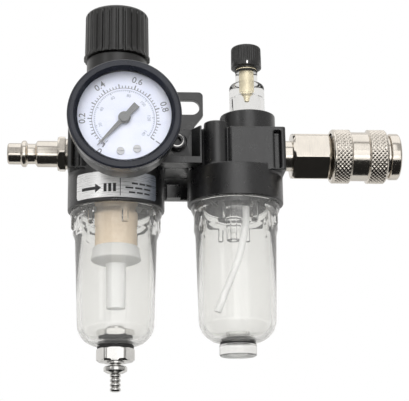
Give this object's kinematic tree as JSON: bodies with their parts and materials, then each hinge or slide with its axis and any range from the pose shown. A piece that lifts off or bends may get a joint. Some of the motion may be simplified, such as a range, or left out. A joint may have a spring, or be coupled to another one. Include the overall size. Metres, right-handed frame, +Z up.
{
  "type": "filter regulator lubricator",
  "caption": "Two-unit air preparation set: filter regulator with dial gauge, lubricator with sight dome, wall bracket, inlet plug and outlet quick coupler.",
  "frame": {"origin": "on the bracket's back face, behind the middle of the joint between the two units, at the height of the port axis", "axes": "+X along the ports towards the outlet coupler, +Y into the wall, +Z up towards the knobs"},
  "size_m": [0.1659, 0.0761, 0.1627],
  "materials": {
    "body_black": "satin",
    "moulded_black": "matte",
    "bezel_black": "gloss",
    "screw_black": "satin",
    "seal_rubber": "matte",
    "zinc_steel": "satin",
    "ball_steel": "polished",
    "brass": "satin",
    "drain_nickel": "polished",
    "champagne_nickel": "satin",
    "clear_lens": "polished",
    "dial_white": "satin",
    "pointer_grey": "satin",
    "label_silver": "satin",
    "bowl_clear": "polished",
    "dome_clear": "polished",
    "tube_clear": "satin",
    "element_beige": "matte",
    "inner_white": "satin"
  },
  "bodies": {
    "root": {"baffle": "inner_white", "bourdon_tube": "brass", "clamp_screws": "screw_black", "coupler_body": "champagne_nickel", "coupler_nose": "champagne_nickel", "coupler_seal": "seal_rubber", "coupler_springs": "zinc_steel", "deflector": "inner_white", "dial_screws": "zinc_steel", "diaphragm": "seal_rubber", "dome_ring": "moulded_black", "dome_seals": "seal_rubber", "filter_element": "element_beige", "gauge_bezel": "bezel_black", "gauge_case": "moulded_black", "gauge_dial": "dial_white", "gauge_lens": "clear_lens", "gauge_movement": "brass", "gauge_stem": "brass", "inlet_plug": "champagne_nickel", "joint_clamp": "body_black", "joint_seals": "seal_rubber", "joint_spacer": "body_black", "locking_balls": "ball_steel", "lubricator_body": "body_black", "mounting_bracket": "body_black", "needle_housing": "brass", "range_spring": "zinc_steel", "rating_label": "label_silver", "regulator_body": "body_black", "regulator_bonnet": "moulded_black", "return_fitting": "dome_clear", "sight_dome": "dome_clear", "siphon_tube": "tube_clear", "stop_pin": "zinc_steel", "valve_guide": "brass", "valve_spring": "zinc_steel"},
    "pressure_screw": {"adjusting_screw": "zinc_steel"},
    "pressure_knob": {"adjusting_knob": "moulded_black"},
    "spring_nut": {"spring_seat": "moulded_black"},
    "regulating_valve": {"valve_poppet": "brass", "diaphragm_plate": "zinc_steel"},
    "gauge_needle": {"gauge_pointer": "pointer_grey"},
    "gauge_sector": {"sector_gear": "brass"},
    "water_bowl": {"filter_bowl": "bowl_clear", "filter_bowl_seal": "seal_rubber", "drain_body": "drain_nickel", "drain_nut": "drain_nickel", "drain_seals": "seal_rubber"},
    "drain_valve": {"drain_stem": "drain_nickel"},
    "oil_reservoir": {"oil_bowl": "bowl_clear", "oil_bowl_seal": "seal_rubber", "oil_bowl_plug": "bowl_clear", "plug_seal": "seal_rubber"},
    "drip_adjuster": {"drip_knob": "moulded_black", "needle_screw": "zinc_steel"},
    "oil_check_ball": {"check_ball": "ball_steel"},
    "filler_plug": {"fill_plug": "moulded_black"},
    "release_sleeve": {"coupler_sleeve": "champagne_nickel"},
    "shutoff_valve": {"coupler_valve": "brass"}
  },
  "joints": [
    {"name": "pressure_turn", "type": "hinge", "parent": "root", "child": "pressure_screw", "pos_m": [-0.025, -0.024, 0.045], "axis": [0, 0, -1], "range_deg": [0, 1080]},
    {"name": "knob_lift", "type": "slide", "parent": "pressure_screw", "child": "pressure_knob", "axis": [0, 0, 1], "range_m": [0, 0.003]},
    {"name": "seat_travel", "type": "slide", "parent": "root", "child": "spring_nut", "axis": [0, 0, -1], "range_m": [0, 0.0031], "deforming": ["range_spring"]},
    {"name": "valve_lift", "type": "slide", "parent": "root", "child": "regulating_valve", "axis": [0, 0, -1], "range_m": [0, 0.001], "stiffness_N_per_m": 300, "springref_m": -0.002, "deforming": ["valve_spring", "diaphragm"]},
    {"name": "needle_turn", "type": "hinge", "parent": "root", "child": "gauge_needle", "pos_m": [-0.0222, -0.024, 0.0009], "axis": [0, 1, 0], "range_deg": [0, 270], "stiffness_Nm_per_rad": 0.00002, "springref_deg": -17.19},
    {"name": "sector_turn", "type": "hinge", "parent": "root", "child": "gauge_sector", "pos_m": [-0.0222, -0.024, -0.0081], "axis": [0, 1, 0], "range_deg": [-48.8, 0]},
    {"name": "bowl_drop", "type": "slide", "parent": "root", "child": "water_bowl", "axis": [0, 0, -1], "range_m": [0, 0.055]},
    {"name": "drain_push", "type": "slide", "parent": "water_bowl", "child": "drain_valve", "axis": [0, 0, 1], "range_m": [0, 0.001]},
    {"name": "reservoir_drop", "type": "slide", "parent": "root", "child": "oil_reservoir", "axis": [0, 0, -1], "range_m": [0, 0.06]},
    {"name": "drip_turn", "type": "hinge", "parent": "root", "child": "drip_adjuster", "pos_m": [0.0309, -0.024, 0.043], "axis": [0, 0, -1], "range_deg": [0, 360]},
    {"name": "ball_rise", "type": "slide", "parent": "root", "child": "oil_check_ball", "axis": [0, 0, 1], "range_m": [0, 0.0012]},
    {"name": "filler_lift", "type": "slide", "parent": "root", "child": "filler_plug", "axis": [0, 0, 1], "range_m": [0, 0.01]},
    {"name": "sleeve_pull", "type": "slide", "parent": "root", "child": "release_sleeve", "axis": [-1, 0, 0], "range_m": [0, 0.0015], "stiffness_N_per_m": 900, "springref_m": -0.003, "deforming": ["coupler_springs"]},
    {"name": "shutoff_push", "type": "slide", "parent": "root", "child": "shutoff_valve", "axis": [-1, 0, 0], "range_m": [0, 0.0035], "stiffness_N_per_m": 250, "springref_m": -0.003, "deforming": ["coupler_springs"]}
  ],
  "couplings": [
    {"joint": "seat_travel", "follows": "pressure_turn", "m_per_rad": 0.00015915},
    {"joint": "sector_turn", "follows": "needle_turn", "ratio": -0.18}
  ]
}
